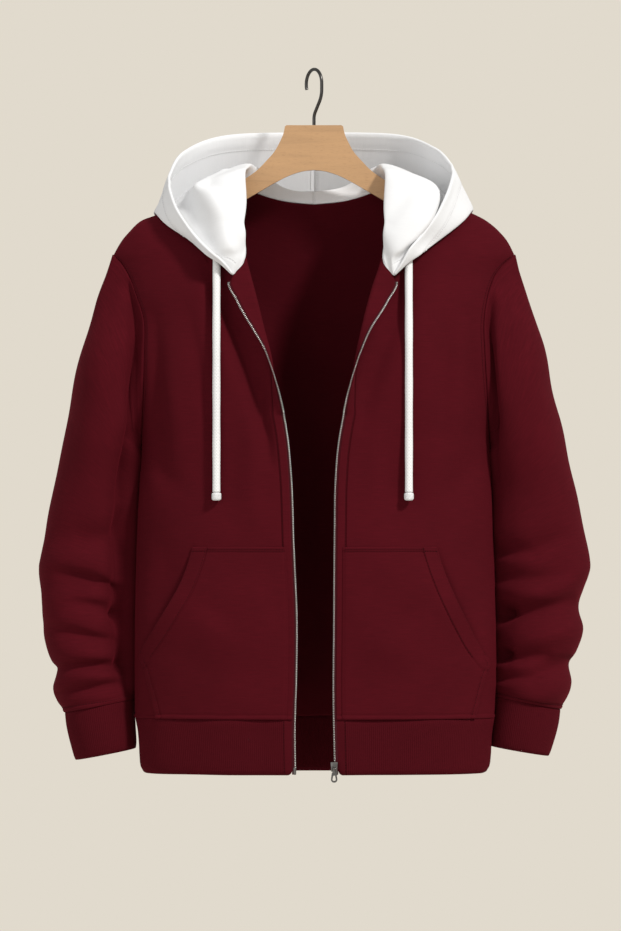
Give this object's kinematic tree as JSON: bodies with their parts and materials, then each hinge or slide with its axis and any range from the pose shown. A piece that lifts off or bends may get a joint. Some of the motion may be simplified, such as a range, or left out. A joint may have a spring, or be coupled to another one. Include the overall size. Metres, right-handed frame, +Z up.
{
  "type": "zip-up hooded cardigan on a wooden hanger",
  "caption": "Open zip-up hooded cardigan in knitted fleece with pockets, rib cuffs and hem, hanging on a wooden hanger with a wire hook.",
  "frame": {"origin": "inner top of the hanger's hook, where it rests on a rail", "axes": "+X to the viewer's right across the shoulders, +Y from the garment's front to its back, +Z up"},
  "size_m": [0.6611, 0.2278, 0.8565],
  "materials": {
    "maroon_knit": "matt brushed knit",
    "maroon_rib": "matt ribbed knit",
    "white_knit": "matt brushed knit",
    "white_cord": "braided cotton with moulded ends",
    "beech": "satin lacquer",
    "dark_metal": "dark nickel plate",
    "zip_metal": "plated zip teeth"
  },
  "bodies": {
    "garment": {"back": "maroon_knit", "front_left": "maroon_knit", "front_right": "maroon_knit", "sleeve_left": "maroon_knit", "sleeve_right": "maroon_knit", "pocket_left": "maroon_knit", "pocket_right": "maroon_knit", "hem_band": "maroon_rib", "cuff_left": "maroon_rib", "cuff_right": "maroon_rib", "hood_left": "white_knit", "hood_right": "white_knit", "drawstring_left": "white_cord", "drawstring_right": "white_cord", "drawstring_tip_left": "white_cord", "drawstring_tip_right": "white_cord", "zip_chain_left": "zip_metal", "zip_chain_right": "zip_metal", "zip_slider": "dark_metal", "hanger_hook": "dark_metal", "hanger": "beech"},
    "pull_tab": {"zip_pull": "dark_metal"}
  },
  "joints": [
    {"name": "pull_tab_hinge", "type": "hinge", "parent": "garment", "child": "pull_tab", "pos_m": [0.02399, -0.07587, -0.8362], "axis": [-1, 0, 0], "range_deg": [0, 160]}
  ]
}
